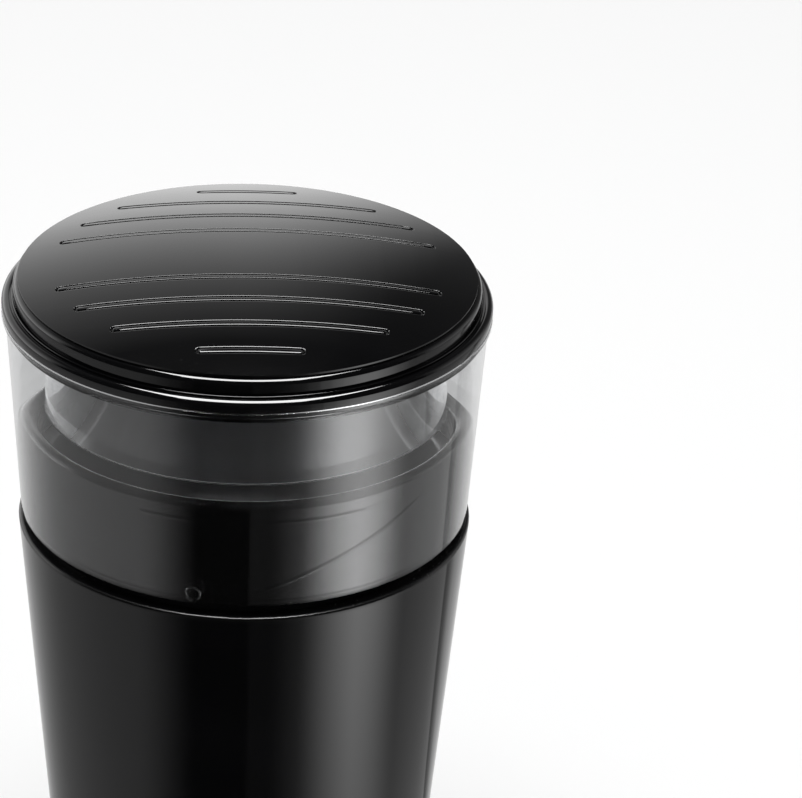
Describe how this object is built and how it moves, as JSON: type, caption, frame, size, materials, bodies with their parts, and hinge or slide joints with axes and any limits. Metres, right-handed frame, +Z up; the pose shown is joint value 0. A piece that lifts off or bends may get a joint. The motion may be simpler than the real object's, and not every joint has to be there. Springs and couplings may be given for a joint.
{
  "type": "electric spice grinder",
  "caption": "Press-lid blade grinder with a black tapered motor housing, steel bowl, clear lid sleeve and a domed cap with straight grooves; pressing the lid works the switch.",
  "frame": {"origin": "on the grinder's axis, at the lower face of the rubber feet", "axes": "+Z up along the axis, -Y towards the front as pictured, +Y towards the cord inlet and the switch, +X to the right as seen from the front"},
  "size_m": [0.11, 0.11, 0.192],
  "materials": {
    "cap_black": "high gloss",
    "clear_plastic": "clear, polished",
    "collar_black": "gloss",
    "housing_black": "high gloss",
    "bowl_steel": "drawn and polished",
    "gasket_rubber": "matte",
    "seal_rubber": "matte",
    "blade_steel": "ground",
    "washer_plastic": "natural",
    "nut_steel": "bright",
    "shaft_steel": "ground",
    "lamination_steel": "varnished sheet steel",
    "copper_windings": "enamelled copper wire",
    "commutator_copper": "copper",
    "fan_plastic": "moulded",
    "bearing_steel": "ground",
    "bush_bronze": "sintered bronze",
    "carrier_plastic": "glass-filled",
    "bracket_plastic": "glass-filled",
    "screw_steel": "zinc plated",
    "plate_board": "phenolic board",
    "brass_parts": "stamped brass",
    "carbon": "pressed carbon",
    "spring_steel": "drawn wire",
    "slider_plastic": "moulded",
    "switch_plastic": "moulded",
    "button_plastic": "moulded",
    "base_black": "fine texture",
    "foot_rubber": "matte",
    "grommet_rubber": "matte"
  },
  "bodies": {
    "root": {"collar": "collar_black", "housing": "housing_black", "bowl": "bowl_steel", "bowl_gasket": "gasket_rubber", "shaft_seal": "seal_rubber", "upper_bearing": "bearing_steel", "lower_bearing": "bush_bronze", "stator_core": "lamination_steel", "field_coils": "copper_windings", "motor_carrier": "carrier_plastic", "lower_bracket": "bracket_plastic", "motor_screws": "screw_steel", "brush_plate": "plate_board", "brush_holders": "brass_parts", "carbon_brushes": "carbon", "brush_springs": "spring_steel", "vibration_isolators": "gasket_rubber", "carrier_screws": "screw_steel", "collar_screws": "screw_steel", "return_spring": "spring_steel", "switch_body": "switch_plastic", "switch_terminals": "brass_parts", "switch_bracket": "bracket_plastic", "switch_screws": "screw_steel", "bracket_screws": "screw_steel", "base_cover": "base_black", "base_screws": "screw_steel", "rubber_feet": "foot_rubber", "cord_grommet": "grommet_rubber"},
    "slider": {"push_slider": "slider_plastic"},
    "button": {"switch_button": "button_plastic"},
    "rotor": {"shaft": "shaft_steel", "armature_core": "lamination_steel", "armature_windings": "copper_windings", "commutator": "commutator_copper", "cooling_fan": "fan_plastic", "blade_washer": "washer_plastic", "blade": "blade_steel", "blade_nut": "nut_steel"},
    "lid": {"lid_cap": "cap_black", "lid_sleeve": "clear_plastic"}
  },
  "joints": [
    {"name": "lid_press", "type": "slide", "parent": "root", "child": "slider", "axis": [0, 0, -1], "range_m": [0, 0.002], "stiffness_N_per_m": 3000, "springref_m": -0.002, "deforming": ["return_spring"]},
    {"name": "lid_lift", "type": "slide", "parent": "slider", "child": "lid", "axis": [0, 0, 1], "range_m": [0, 0.06]},
    {"name": "switch_press", "type": "slide", "parent": "root", "child": "button", "axis": [0, 0, -1], "range_m": [0, 0.002]},
    {"name": "rotor_spin", "type": "hinge", "parent": "root", "child": "rotor", "pos_m": [0, 0, 0.1], "axis": [0, 0, 1], "continuous": true}
  ],
  "couplings": [
    {"joint": "switch_press", "follows": "lid_press", "ratio": 1}
  ]
}
